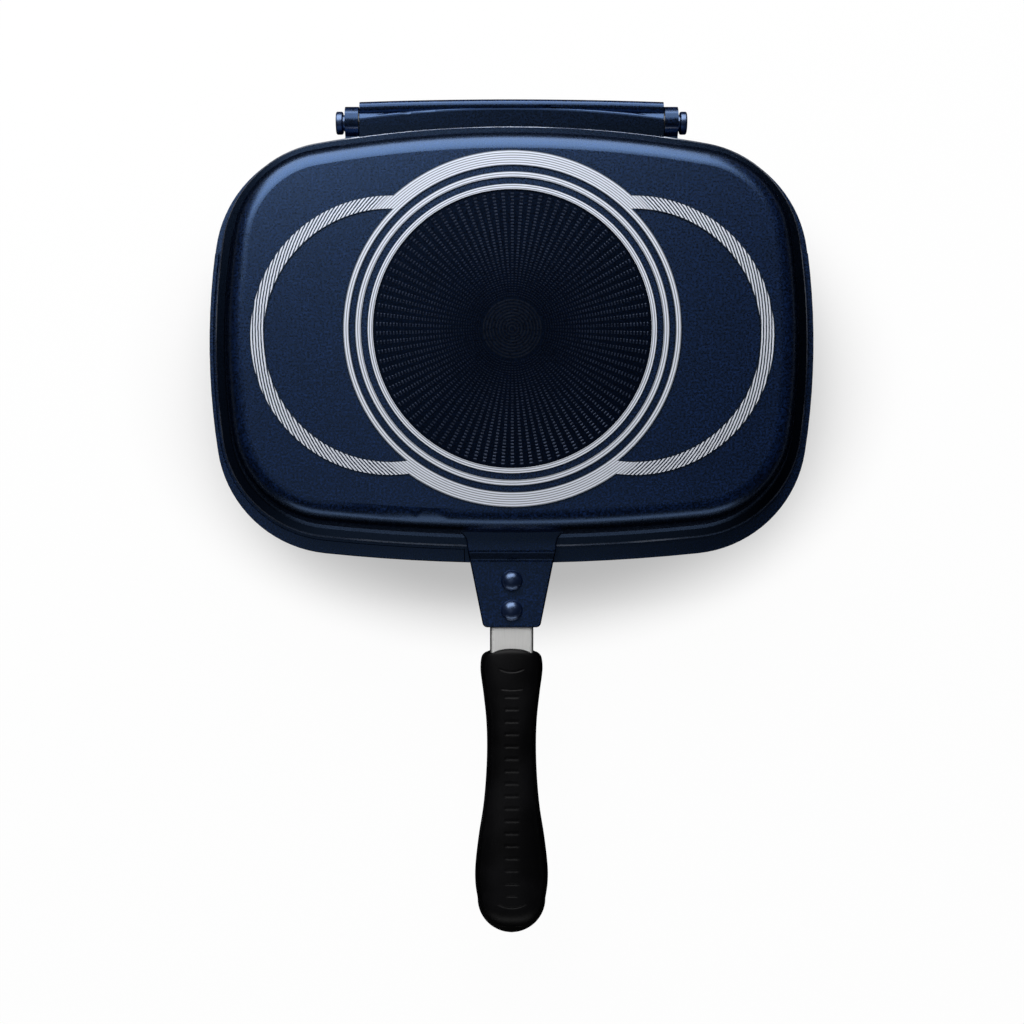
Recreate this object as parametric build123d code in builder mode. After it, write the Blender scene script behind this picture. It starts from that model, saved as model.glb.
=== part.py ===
"""Double sided flip pan: two hinged cast pans that close on a seal, with half-round handles.

Millimetres, +Z up. The origin is the centre of the lower pan's base, where it stands.
+Y points to the hinge at the back, -Y to the handles, and X runs along the hinge.
The upper pan turns about the hinge; everything is drawn with the pans closed.
Handle parts are drawn once, for the upper pan, and mirrored for the lower one.
"""

import os
from math import atan2, cos, degrees, hypot, radians, sin, tan

from build123d import *

os.makedirs("parts", exist_ok=True)

# --- Whole pan ------------------------------------------------------------------------------------
closed_height = 80.0  # table to the top of the upper pan's contact rings
lower_height = 43.5  # table to the lower pan's rim face
closing_gap = 0.4  # between the two rim faces, which the seal keeps apart

# --- Rim seen from above: tangent arcs, alike on the left and the right ---------------------------
rim_half_width = 176.4
rim_back = 125.4  # reach of the upper rim behind the origin
rim_front = 125.4  # and in front of it
rim_widest = -3.0  # Y of the widest line
rim_back_radius = 660.0
rim_front_radius = 1075.0
rim_side_radius = 420.0
rim_corner_radius = 68.0

# --- Cast walls -----------------------------------------------------------------------------------
rim_thickness = 5.0
rim_edge = 1.0  # chamfer
upper_shelf = 6.5  # rim edge to the foot of the outer wall
upper_land = 10.6  # rim edge to the cavity
lower_shelf = 10.0
lower_land = 13.4
wall_draft = 6.0  # degrees
base_radius = 12.0  # outer wall into base
root_edge = 1.8  # outer wall into rim
floor_thickness = 4.0
floor_radius = 9.0  # inner wall into floor

# --- Drip lip round the lower rim -----------------------------------------------------------------
lip_side = 4.0  # how much wider than the upper rim
lip_front = 9.4
lip_back = 0.2
lip_height = 1.5
lip_clearance = 1.5  # round the upper rim and its tang
lip_end = 50.0  # Y where the lip stops, ahead of the hinge
lip_edge = 0.4

# --- Seal -----------------------------------------------------------------------------------------
seal_inset = 6.8  # rim edge to the seal
seal_width = 2.4
seal_play = 0.1  # seal to each side of its groove
groove_depth = 2.5
bead_height = 0.8  # seal above the lower rim face
bead_edge = 0.7
bead_clearance = 0.4  # bead to the upper rim's channel

# --- Contact rings, turned bright, on the base of each pan ----------------------------------------
ring_height = 0.8  # above the painted base
main_ring_radius = 103.0
main_ring_neck_radius = 97.6  # where the side arms enclose it
main_ring_inner_radius = 94.2
middle_ring_radius = 90.7
middle_ring_width = 3.5
inner_ring_radius = 83.5
inner_ring_width = 3.2
arm_radius = 80.6
arm_width = 7.7
arm_centre_x = 70.5
arm_centre_y = -3.9
arm_fillet = 2.0

# --- Grill ribs on the lower pan's floor ----------------------------------------------------------
rib_pitch = 15.0
rib_width = 5.0
rib_height = 2.2
rib_draft = 15.0
rib_margin = 34.0  # rim edge to the ends of the ribs

# --- Hinge ----------------------------------------------------------------------------------------
hinge_height = closed_height / 2  # so that both pans lie flat when opened
hinge_offset = 3.7  # rim's back edge to the hinge axis
barrel_radius = 8.4
barrel_half_length = 90.6
plate_reach = 12.6  # rim edge to the back edge of the hinge plate
plate_drop = 0.4  # hinge plate below the top of the rim
plate_edge = 3.0  # rounding along the back of the plate
roll_radius = 4.0  # round bead along the back of the hinge plate
roll_reach = 11.0  # hinge axis to the back of the roll, at its ends
roll_bow = 1.8
roll_rise = 0.1  # roll above the top of the rim
rod_radius = 4.0
rod_play = 0.05  # radial, in the barrel
rod_chamfer = 0.5
lug_radius = 9.5
lug_width = 8.0
lug_foot_drop = 21.5  # rim face to the lug's lowest point on the wall
lug_foot_inset = 30.0  # rim edge to that point
swing_clearance = 0.9  # lower rim to the turning barrel and roll
washer_thickness = 0.4
washer_radius = 7.0
washer_clearance = 0.4  # washer to barrel
cap_radius = 6.7
cap_length = 4.2
cap_neck_radius = 4.7
cap_neck_length = 1.4
cap_edge = 0.8
cap_wall = 1.6  # cap beyond the rod's end

# --- Handle tangs, cast with the pans -------------------------------------------------------------
tang_end = 173.0  # origin to the end of the tang
tang_root_width = 52.8  # at the rim's front edge
tang_end_width = 33.6
tang_height = 12.5  # rim face to the riveting face
tang_step = 4.5  # raised shoulder beside the wall
tang_step_length = 5.0
tang_shoulder_length = 3.0  # rim's front edge to the step
tang_root_fillet = 9.0
flare_overlap = 1.6  # flared root sunk in the wall
tang_corner_radius = 3.0
tang_step_radius = 3.0
tang_edge_radius = 1.0
channel_play = 0.5  # beside the strap, in the tang's channel
channel_start = 134.0  # origin to the channel's closed end

# --- Straps, rivets and ferrules ------------------------------------------------------------------
strap_width = 18.0
strap_thickness = 3.0
strap_offset = 5.0  # rim face to the strap
strap_start = 136.0
strap_end = 232.0
rivet_positions = (145.4, 163.0)
rivet_head_radius = 6.4
rivet_head_height = 4.4
rivet_shank_radius = 3.0
rivet_tail_radius = 5.0
rivet_tail_height = 2.0
ferrule_width = 25.7
ferrule_height = 9.4
ferrule_offset = 1.6  # rim face to the ferrule
ferrule_thickness = 1.0
ferrule_radius = 2.2
ferrule_seat = 2.0  # depth in the tang's end
ferrule_insert = 6.0  # depth in the grip
fit_play = 0.1  # round each piece in its hole or pocket

# --- Grips ----------------------------------------------------------------------------------------
grip_start = 186.0  # origin to the front of the grip
grip_stations = (  # distance from the origin, half width, height above the parting face
    (grip_start, 14.8, 11.6),
    (190.0, 17.2, 12.9),
    (198.0, 18.5, 13.4),
    (212.0, 16.8, 13.5),
    (228.0, 15.1, 13.5),
    (244.0, 14.6, 13.6),
    (262.0, 15.2, 14.0),
    (280.0, 16.8, 14.6),
    (298.0, 19.6, 15.4),
    (316.0, 21.6, 15.9),
    (334.8, 20.2, 15.6),
)
skirt_height = 3.0  # thin band round the parting face
skirt_width = 1.1
grip_shoulder = 0.75  # rounded part of the height

# --- Screws and magnets in the grips --------------------------------------------------------------
screw_positions = (205.0, 223.0)
screw_radius = 2.0
screw_length = 8.0
screw_head_radius = 3.6
screw_head_height = 2.2
screw_recess = 0.4
screw_slot_length = 5.4
screw_slot_width = 1.0
screw_slot_depth = 1.1
magnet_y = 312.0
magnet_radius = 7.0
magnet_height = 4.0
cup_wall = 1.0
cup_recess = 0.2  # cup below the parting face

# --- Places worked out from the sizes above -------------------------------------------------------
near = 0.01  # reach within which a face or edge counts as being at a place
upper_face = lower_height + closing_gap
upper_top = closed_height - ring_height  # painted base of the upper pan
upper_rim_top = upper_face + rim_thickness
lower_rim_bottom = lower_height - rim_thickness
parting_plane = Plane.XY.offset(lower_height + closing_gap / 2)
hinge_y = rim_back + hinge_offset
lug_inner = barrel_half_length + washer_clearance + washer_thickness
lug_outer = lug_inner + lug_width
roll_y = hinge_y + roll_reach - roll_radius  # at the roll's ends
roll_z = upper_rim_top + roll_rise - roll_radius
roll_swing = hypot(roll_y + roll_bow - hinge_y, roll_z - hinge_height) + roll_radius
strap_bottom = upper_face + strap_offset
ferrule_bottom = upper_face + ferrule_offset
ferrule_top = ferrule_bottom + ferrule_height
ferrule_start = tang_end - ferrule_seat
ferrule_end = grip_start + ferrule_insert
tang_face = upper_face + tang_height


def corner_centre(side_centre, side_reach, end_centre, end_reach):
    """Centre of the corner arc, at its reach from the centres of the side arc and the end arc."""
    across = side_centre[0] - end_centre[0]
    along = side_centre[1] - end_centre[1]
    apart = hypot(across, along)
    run = (end_reach**2 - side_reach**2 + apart**2) / (2 * apart)
    rise = (end_reach**2 - run**2) ** 0.5
    x = end_centre[0] + (across * run + along * rise) / apart
    y = end_centre[1] + (along * run - across * rise) / apart
    return (x, y)


def turn_of(start, end):
    """Direction from one point to another, in degrees."""
    return degrees(atan2(end[1] - start[1], end[0] - start[0]))


def draw_rim_arc(centre, radius, start, end, hand, way):
    """Draw one arc of the rim, mirrored to the left for hand -1 and to the front for way -1."""
    points = []
    for turn in (start, (start + end) / 2, end):
        x = centre[0] + radius * cos(radians(turn))
        y = centre[1] + radius * sin(radians(turn))
        points.append((hand * x, rim_widest + way * y))
    ThreePointArc(*points)


def rim_area(height, inset=0.0, side=0.0, back=0.0, front=0.0):
    """Area within the rim's outline at a height, inset evenly, or let out by side, back and front."""
    side_radius = rim_side_radius + side - inset
    side_centre = (rim_half_width + side - inset - side_radius, 0.0)
    corner_radius = rim_corner_radius + side - inset
    back_reach = rim_back + back - inset - rim_widest
    front_reach = rim_front + front - inset + rim_widest
    back_radius = rim_back_radius + back - inset
    front_radius = rim_front_radius + front - inset
    with BuildSketch(Plane.XY.offset(height)) as area:
        with BuildLine():
            for reach, end_radius, way in ((back_reach, back_radius, 1), (front_reach, front_radius, -1)):
                end_centre = (0.0, reach - end_radius)
                corner = corner_centre(
                    side_centre, side_radius - corner_radius, end_centre, end_radius - corner_radius
                )
                side_turn = turn_of(side_centre, corner)
                end_turn = turn_of(end_centre, corner)
                for hand in (1, -1):
                    draw_rim_arc(side_centre, side_radius, 0, side_turn, hand, way)
                    draw_rim_arc(corner, corner_radius, side_turn, end_turn, hand, way)
                    draw_rim_arc(end_centre, end_radius, end_turn, 90, hand, way)
        make_face()
    return area.sketch


def rim_band(height, outer_inset, inner_inset):
    """Band between two insets of the rim's outline."""
    with BuildSketch(Plane.XY.offset(height)) as band:
        add(rim_area(0, outer_inset))
        add(rim_area(0, inner_inset), mode=Mode.SUBTRACT)
    return band.sketch


def contact_rings(height):
    """Three rings and two side arms that touch the stove, all on one level."""
    arm_centres = Locations((arm_centre_x, arm_centre_y), (-arm_centre_x, arm_centre_y))
    with BuildSketch(Plane.XY.offset(height)) as rings:
        Circle(main_ring_radius)
        with arm_centres:
            Circle(arm_radius)
        with arm_centres:
            Circle(arm_radius - arm_width, mode=Mode.SUBTRACT)
        Circle(main_ring_neck_radius)
        Circle(main_ring_inner_radius, mode=Mode.SUBTRACT)
        joints = rings.vertices().filter_by(lambda v: v.Y != 0 and hypot(v.X, v.Y) > main_ring_inner_radius)
        fillet(joints, arm_fillet)
        for radius, width in (
            (middle_ring_radius, middle_ring_width),
            (inner_ring_radius, inner_ring_width),
        ):
            Circle(radius)
            Circle(radius - width, mode=Mode.SUBTRACT)
    return rings.sketch


def level_face(part, height):
    """Largest level face of a part at a height."""
    level = part.faces().filter_by(Axis.Z).filter_by_position(Axis.Z, height - near, height + near)
    return level.sort_by(SortBy.AREA)[-1]


def export(part, name):
    """Label a finished piece and write it to its own file."""
    part.label = name
    export_step(part, f"parts/{name}.step")


def handle_tang(shelf):
    """Cast root of the handle, drawn for the upper pan, with fillets that reach a wall at a shelf."""
    top = tang_height + tang_step
    wall_y = -rim_front + shelf + top * tan(radians(wall_draft)) + flare_overlap
    step_y = -rim_front - tang_shoulder_length
    with BuildPart() as tang:
        with BuildSketch(Plane.XY.offset(upper_face)) as plan:
            with BuildLine():
                Polyline(
                    (-tang_root_width / 2, wall_y),
                    (-tang_root_width / 2, -rim_front),
                    (-tang_end_width / 2, -tang_end),
                    (tang_end_width / 2, -tang_end),
                    (tang_root_width / 2, -rim_front),
                    (tang_root_width / 2, wall_y),
                    close=True,
                )
            make_face()
            with Locations((0, wall_y)):
                flare = tang_root_width + 3 * tang_root_fillet
                Rectangle(flare, flare_overlap, align=(Align.CENTER, Align.MIN))
            by_row = plan.vertices().group_by(Axis.Y)
            fillet(by_row[0], tang_corner_radius)
            inner = plan.vertices().filter_by(
                lambda v: abs(v.Y - wall_y) < near and abs(v.X) < tang_root_width / 2 + near
            )
            fillet(inner, tang_root_fillet)
        extrude(amount=top)
        with BuildSketch(Plane.YZ):
            with BuildLine():
                Polyline(
                    (step_y, tang_face + tang_step),
                    (step_y - tang_step_length, tang_face),
                    (-tang_end - 1, tang_face),
                    (-tang_end - 1, tang_face + tang_step),
                    close=True,
                )
            make_face()
        extrude(amount=tang_root_width, both=True, mode=Mode.SUBTRACT)
        step_edges = tang.edges().filter_by(Axis.X).filter_by_position(
            Axis.Y, step_y - tang_step_length - near, step_y + near
        )
        fillet(step_edges, tang_step_radius)
        top_edges = tang.edges().filter_by(
            lambda e: e.center().Z > tang_face - tang_edge_radius
            and e.center().Y < wall_y - tang_edge_radius
            and (abs(e.center().X) > 1 or e.center().Y < -tang_end + near)
        )
        fillet(top_edges, tang_edge_radius)
    return tang.part


def hinge_wing():
    """Plate, barrel and roll that carry the upper pan on the hinge rod."""
    ends = (-barrel_half_length - roll_radius, barrel_half_length + roll_radius)
    with BuildPart() as wing:
        with BuildSketch(Plane.XY.offset(upper_face)):
            add(rim_area(0, inset=-plate_reach))
            add(rim_area(0, inset=upper_shelf / 2), mode=Mode.SUBTRACT)
            with Locations((0, hinge_y)):
                Rectangle(2 * barrel_half_length, rim_back, mode=Mode.INTERSECT)
        extrude(amount=rim_thickness - plate_drop)
        plate_top = upper_rim_top - plate_drop
        back_edges = wing.edges().filter_by(
            lambda e: abs(e.center().Z - plate_top) < near and e.center().Y > rim_back + plate_reach / 2
        )
        fillet(back_edges, plate_edge)
        with BuildSketch(Plane.YZ):
            with Locations((hinge_y, hinge_height)):
                Circle(barrel_radius)
        extrude(amount=barrel_half_length, both=True)
        with BuildLine() as bow:
            ThreePointArc(
                (ends[0], roll_y, roll_z), (0, roll_y + roll_bow, roll_z), (ends[1], roll_y, roll_z)
            )
        with BuildSketch(Plane(origin=bow.line @ 0, z_dir=bow.line % 0)):
            Circle(roll_radius)
        sweep(path=bow.line)
        with BuildSketch(Plane.YZ):
            with Locations((hinge_y, hinge_height)):
                Rectangle(rim_back, closed_height)
        extrude(amount=barrel_half_length, both=True, mode=Mode.INTERSECT)
    return wing.part


def along_x(radius, start, end, hand=1):
    """Round bar on the hinge axis between two distances from the middle, to the right or the left."""
    with BuildPart() as bar:
        with BuildSketch(Plane.YZ.offset(hand * start)):
            with Locations((hinge_y, hinge_height)):
                Circle(radius)
        extrude(amount=hand * (end - start))
    return bar.part


def channel_and_pockets():
    """Room in a tang for the strap, the rivets' shanks and the ferrule's end."""
    with BuildPart() as room:
        with BuildSketch(Plane.XY.offset(upper_face)):
            with Locations((0, -channel_start)):
                Rectangle(
                    strap_width + 2 * channel_play, tang_end - channel_start + 1,
                    align=(Align.CENTER, Align.MAX),
                )
        extrude(amount=strap_offset + strap_thickness)
        with BuildSketch(Plane.XZ.offset(ferrule_start)):
            with Locations((0, (ferrule_bottom + ferrule_top) / 2)):
                RectangleRounded(
                    ferrule_width + 2 * fit_play, ferrule_height + 2 * fit_play, ferrule_radius + fit_play
                )
        extrude(amount=ferrule_seat + 1)
        with BuildSketch(Plane.XY.offset(upper_face)):
            with Locations(*[(0, -y) for y in rivet_positions]):
                Circle(rivet_shank_radius + fit_play)
        extrude(amount=tang_height + 1)
    return room.part


# --- Upper pan ------------------------------------------------------------------------------------
upper_floor = upper_top - floor_thickness

with BuildPart() as upper_pan:
    extrude(rim_area(upper_face, inset=upper_shelf), amount=upper_top - upper_face, taper=wall_draft)
    fillet(level_face(upper_pan, upper_top).edges(), base_radius)
    extrude(rim_area(upper_face), amount=rim_thickness)
    rim_top = level_face(upper_pan, upper_rim_top)
    chamfer(rim_top.outer_wire().edges(), rim_edge)
    chamfer(level_face(upper_pan, upper_rim_top).inner_wires()[0].edges(), root_edge)
    add(hinge_wing())
    add(handle_tang(upper_shelf))
    extrude(rim_area(upper_face, inset=upper_land), amount=upper_floor - upper_face, taper=wall_draft,
            mode=Mode.SUBTRACT)
    fillet(level_face(upper_pan, upper_floor).edges(), floor_radius)
    extrude(contact_rings(upper_top), amount=ring_height)
    channel = rim_band(upper_face, seal_inset - bead_clearance, seal_inset + seal_width + bead_clearance)
    extrude(channel, amount=bead_height + bead_clearance, mode=Mode.SUBTRACT)
    add(channel_and_pockets(), mode=Mode.SUBTRACT)
    bore = along_x(rod_radius + rod_play, -barrel_half_length - 1, barrel_half_length + 1)
    add(bore, mode=Mode.SUBTRACT)
export(upper_pan.part, "upper_pan")

# --- Lower pan ------------------------------------------------------------------------------------
lower_floor = ring_height + floor_thickness

whole_width = 2 * (rim_half_width + lip_side)

with BuildPart() as drip_lip:
    with BuildSketch(Plane.XY.offset(lower_height - lip_height)):
        add(rim_area(0, side=lip_side, back=lip_back, front=lip_front))
        add(rim_area(0, inset=-lip_clearance), mode=Mode.SUBTRACT)
        with Locations((0, lip_end)):
            Rectangle(
                whole_width, whole_width, align=(Align.CENTER, Align.MIN), mode=Mode.SUBTRACT
            )
        Rectangle(
            tang_root_width + 2 * lip_clearance, whole_width,
            align=(Align.CENTER, Align.MAX), mode=Mode.SUBTRACT,
        )
    extrude(amount=2 * lip_height)
    chamfer(level_face(drip_lip, lower_height + lip_height).edges(), lip_edge)

with BuildPart() as lug:
    with BuildSketch(Plane.YZ.offset(lug_inner)):
        with BuildLine():
            Polyline(
                (hinge_y, lower_height),
                (hinge_y, hinge_height - lug_radius),
                (rim_back - lug_foot_inset, lower_height - lug_foot_drop),
                (rim_back - lug_foot_inset, lower_height),
                close=True,
            )
        make_face()
        with Locations((hinge_y, hinge_height)):
            Circle(lug_radius)
    extrude(amount=lug_width)

with BuildPart() as lower_pan:
    extrude(rim_area(lower_height, inset=lower_shelf), amount=-(lower_height - ring_height), taper=wall_draft)
    fillet(level_face(lower_pan, ring_height).edges(), base_radius)
    lower_rim = rim_area(lower_rim_bottom, side=lip_side, back=lip_back, front=lip_front)
    extrude(lower_rim, amount=rim_thickness)
    rim_under = level_face(lower_pan, lower_rim_bottom)
    chamfer(rim_under.outer_wire().edges(), rim_edge)
    chamfer(level_face(lower_pan, lower_rim_bottom).inner_wires()[0].edges(), root_edge)
    add(mirror(handle_tang(lower_shelf), about=parting_plane))
    add(lug.part)
    add(mirror(lug.part, about=Plane.YZ))
    add(drip_lip.part)
    extrude(rim_area(lower_height, inset=lower_land), amount=-(lower_height - lower_floor), taper=wall_draft,
            mode=Mode.SUBTRACT)
    fillet(level_face(lower_pan, lower_floor).edges(), floor_radius)
    extrude(contact_rings(0), amount=ring_height)
    groove = rim_band(lower_height, seal_inset - seal_play, seal_inset + seal_width + seal_play)
    extrude(groove, amount=-groove_depth, mode=Mode.SUBTRACT)
    add(mirror(channel_and_pockets(), about=parting_plane), mode=Mode.SUBTRACT)
    add(along_x(barrel_radius + swing_clearance, -lug_inner, lug_inner), mode=Mode.SUBTRACT)
    with BuildSketch(Plane.YZ.offset(-lug_inner)):
        with Locations((hinge_y, hinge_height)):
            Circle(roll_swing + swing_clearance / 2)
            Rectangle(4 * roll_swing, 4 * roll_swing, align=(Align.CENTER, Align.MIN), mode=Mode.SUBTRACT)
    extrude(amount=2 * lug_inner, mode=Mode.SUBTRACT)
    add(along_x(rod_radius, -lug_outer - 1, lug_outer + 1), mode=Mode.SUBTRACT)
    with BuildSketch(Plane.XY.offset(lower_floor)):
        rib_count = int(2 * (rim_half_width - rib_margin) / rib_pitch) // 2 * 2 + 1
        with GridLocations(rib_pitch, 0, rib_count, 1):
            SlotOverall(2 * rim_back, rib_width, rotation=90)
        add(rim_area(0, inset=rib_margin), mode=Mode.INTERSECT)
    extrude(amount=rib_height, taper=rib_draft)
export(lower_pan.part, "lower_pan")

# --- Seal -----------------------------------------------------------------------------------------
with BuildPart() as rim_seal:
    band = rim_band(lower_height - groove_depth, seal_inset, seal_inset + seal_width)
    extrude(band, amount=groove_depth + bead_height)
    chamfer(level_face(rim_seal, lower_height + bead_height).edges(), bead_edge)
export(rim_seal.part, "rim_seal")

# --- Hinge rod, washers and caps ------------------------------------------------------------------
cap_start = lug_outer + cap_neck_length
rod_half_length = cap_start + cap_length - cap_wall
with BuildPart() as hinge_rod:
    add(along_x(rod_radius, -rod_half_length, rod_half_length))
    chamfer(hinge_rod.edges().filter_by(GeomType.CIRCLE), rod_chamfer)
export(hinge_rod.part, "hinge_rod")

with BuildPart() as hinge_washers:
    for hand in (1, -1):
        add(along_x(washer_radius, lug_inner - washer_thickness, lug_inner, hand))
    add(along_x(rod_radius + fit_play, -lug_outer, lug_outer), mode=Mode.SUBTRACT)
export(hinge_washers.part, "hinge_washers")

for side, hand in (("right", 1), ("left", -1)):
    with BuildPart() as hinge_cap:
        add(along_x(cap_radius, cap_start, cap_start + cap_length, hand))
        chamfer(hinge_cap.edges().filter_by(GeomType.CIRCLE), cap_edge)
        add(along_x(cap_neck_radius, lug_outer, cap_start, hand))
        add(along_x(rod_radius, lug_outer, rod_half_length, hand), mode=Mode.SUBTRACT)
    export(hinge_cap.part, f"hinge_cap_{side}")

# --- Handle straps --------------------------------------------------------------------------------
with BuildPart() as strap:
    with BuildSketch(Plane.XY.offset(strap_bottom)):
        with Locations((0, -(strap_start + strap_end) / 2)):
            RectangleRounded(strap_width, strap_end - strap_start, strap_width / 4)
        with Locations(*[(0, -y) for y in rivet_positions]):
            Circle(rivet_shank_radius + fit_play, mode=Mode.SUBTRACT)
        with Locations(*[(0, -y) for y in screw_positions]):
            Circle(screw_radius + fit_play, mode=Mode.SUBTRACT)
    extrude(amount=strap_thickness)

# --- Rivets ---------------------------------------------------------------------------------------
with BuildPart() as rivet:
    with BuildSketch(Plane.XZ):
        with BuildLine():
            Polyline(
                (0, strap_bottom - rivet_tail_height),
                (rivet_tail_radius, strap_bottom - rivet_tail_height),
                (rivet_tail_radius, strap_bottom),
                (rivet_shank_radius, strap_bottom),
                (rivet_shank_radius, tang_face),
                *[
                    (rivet_head_radius * cos(radians(turn)), tang_face + rivet_head_height * sin(radians(turn)))
                    for turn in (0, 30, 60, 90)
                ],
                close=True,
            )
        make_face()
    revolve(axis=Axis.Z)

with BuildPart() as rivets:
    with Locations(*[(0, -y) for y in rivet_positions]):
        add(rivet.part)

# --- Ferrules -------------------------------------------------------------------------------------
with BuildPart() as ferrule:
    with BuildSketch(Plane.XZ.offset(ferrule_start)):
        with Locations((0, (ferrule_bottom + ferrule_top) / 2)):
            RectangleRounded(ferrule_width, ferrule_height, ferrule_radius)
            RectangleRounded(
                ferrule_width - 2 * ferrule_thickness, ferrule_height - 2 * ferrule_thickness,
                ferrule_radius - ferrule_thickness, mode=Mode.SUBTRACT,
            )
    extrude(amount=ferrule_end - ferrule_start)


# --- Grips ----------------------------------------------------------------------------------------
def grip_plan(height):
    """Outline of the grip at the parting face, a smooth line through the stations."""
    with BuildSketch(Plane.XY.offset(height)) as plan:
        with BuildLine():
            side = Spline(*[(half_width, -y) for y, half_width, top in grip_stations])
            mirror(side, about=Plane.YZ)
            CenterArc((0, (side @ 1).Y), (side @ 1).X, 180, 180)
            Line(side @ 0, Vector(-(side @ 0).X, (side @ 0).Y))
        make_face()
    return plan.sketch


def grip_section(y, half_width, top):
    """Cross-section of the grip: upright sides, rounded shoulders and a level crown."""
    shoulder = grip_shoulder * top
    with BuildSketch(Plane.XZ.offset(y)) as section:
        with Locations((0, upper_face)):
            Rectangle(2 * half_width, top, align=(Align.CENTER, Align.MIN))
        fillet(section.vertices().group_by(Axis.Y)[-1], shoulder)
    return section.sketch


with BuildPart() as grip:
    for y, half_width, top in grip_stations:
        add(grip_section(y, half_width - skirt_width, top))
    loft(ruled=True)
    with BuildSketch(Plane.XZ.offset(grip_stations[-1][0])):
        add(grip_section(0, grip_stations[-1][1] - skirt_width, grip_stations[-1][2]))
        with Locations((0, upper_face)):
            Rectangle(closed_height, closed_height, align=(Align.MAX, Align.CENTER), mode=Mode.SUBTRACT)
    revolve(axis=Axis((0, -grip_stations[-1][0], 0), (0, 0, -1)), revolution_arc=180)
    extrude(grip_plan(upper_face), amount=skirt_height)
    with BuildSketch(Plane.XZ.offset(grip_start - 1)):
        with Locations((0, (ferrule_bottom + ferrule_top) / 2)):
            RectangleRounded(
                ferrule_width + 2 * fit_play, ferrule_height + 2 * fit_play, ferrule_radius + fit_play
            )
    extrude(amount=ferrule_insert + 1, mode=Mode.SUBTRACT)
    with BuildSketch(Plane.XY.offset(strap_bottom - fit_play)):
        with Locations((0, -grip_start)):
            Rectangle(
                strap_width + 2 * fit_play, strap_end - grip_start + fit_play, align=(Align.CENTER, Align.MAX)
            )
    extrude(amount=strap_thickness + 2 * fit_play, mode=Mode.SUBTRACT)
    with BuildSketch(Plane.XY.offset(upper_face)):
        with Locations(*[(0, -y) for y in screw_positions]):
            Circle(screw_head_radius + fit_play)
    extrude(amount=screw_recess + screw_head_height, mode=Mode.SUBTRACT)
    with BuildSketch(Plane.XY.offset(upper_face)):
        with Locations(*[(0, -y) for y in screw_positions]):
            Circle(screw_radius + fit_play)
    extrude(amount=screw_recess + screw_head_height + screw_length + 2 * fit_play, mode=Mode.SUBTRACT)
    with BuildSketch(Plane.XY.offset(upper_face)):
        with Locations((0, -magnet_y)):
            Circle(magnet_radius + cup_wall + fit_play)
    extrude(amount=cup_recess + magnet_height + cup_wall, mode=Mode.SUBTRACT)

# --- Grip screws ----------------------------------------------------------------------------------
head_bottom = upper_face + screw_recess
with BuildPart() as screws:
    with BuildSketch(Plane.XY.offset(head_bottom)):
        with Locations(*[(0, -y) for y in screw_positions]):
            Circle(screw_head_radius)
    extrude(amount=screw_head_height)
    with BuildSketch(Plane.XY.offset(head_bottom + screw_head_height)):
        with Locations(*[(0, -y) for y in screw_positions]):
            Circle(screw_radius)
    extrude(amount=screw_length)
    with BuildSketch(Plane.XY.offset(head_bottom)):
        for turn in (0, 90):
            with Locations(*[(0, -y) for y in screw_positions]):
                SlotOverall(screw_slot_length, screw_slot_width, rotation=turn)
    extrude(amount=screw_slot_depth, mode=Mode.SUBTRACT)

# --- Magnets in their steel cups ------------------------------------------------------------------
cup_bottom = upper_face + cup_recess
with BuildPart() as magnet_cup:
    with BuildSketch(Plane.XY.offset(cup_bottom)):
        with Locations((0, -magnet_y)):
            Circle(magnet_radius + cup_wall)
    extrude(amount=magnet_height + cup_wall)
    with BuildSketch(Plane.XY.offset(cup_bottom)):
        with Locations((0, -magnet_y)):
            Circle(magnet_radius)
    extrude(amount=magnet_height, mode=Mode.SUBTRACT)

with BuildPart() as magnet:
    with BuildSketch(Plane.XY.offset(cup_bottom)):
        with Locations((0, -magnet_y)):
            Circle(magnet_radius)
    extrude(amount=magnet_height)

# --- Each handle piece once for the upper pan and mirrored for the lower one ----------------------
handle_pieces = {
    "handle_strap": strap,
    "handle_rivets": rivets,
    "ferrule": ferrule,
    "grip": grip,
    "grip_screws": screws,
    "magnet_cup": magnet_cup,
    "magnet": magnet,
}
for piece_name, piece in handle_pieces.items():
    with BuildPart() as lower_piece:
        add(mirror(piece.part, about=parting_plane))
    export(piece.part, f"upper_{piece_name}")
    export(lower_piece.part, f"lower_{piece_name}")
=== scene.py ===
"""Double sided flip pan: finishes, smooth pieces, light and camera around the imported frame."""

import math

import bmesh
import bpy
from bpy.props import FloatProperty, FloatVectorProperty, IntProperty, PointerProperty
from mathutils import Matrix, Vector


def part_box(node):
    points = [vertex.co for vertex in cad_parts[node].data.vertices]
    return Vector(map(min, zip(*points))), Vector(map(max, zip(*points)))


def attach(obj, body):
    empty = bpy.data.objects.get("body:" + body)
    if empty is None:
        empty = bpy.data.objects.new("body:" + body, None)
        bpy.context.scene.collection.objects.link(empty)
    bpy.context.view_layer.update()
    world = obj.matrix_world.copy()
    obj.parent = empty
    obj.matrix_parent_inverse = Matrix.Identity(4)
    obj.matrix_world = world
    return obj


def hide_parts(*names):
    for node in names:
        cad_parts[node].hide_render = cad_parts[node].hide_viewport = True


bl_info = {
    "name": "Double Sided Flip Pan",
    "version": (1, 0, 0),
    "blender": (4, 5, 0),
    "location": "3D View > Sidebar > Flip Pan",
    "description": "Dresses a hinged double sided frying pan",
    "category": "Add Mesh",
}

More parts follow.
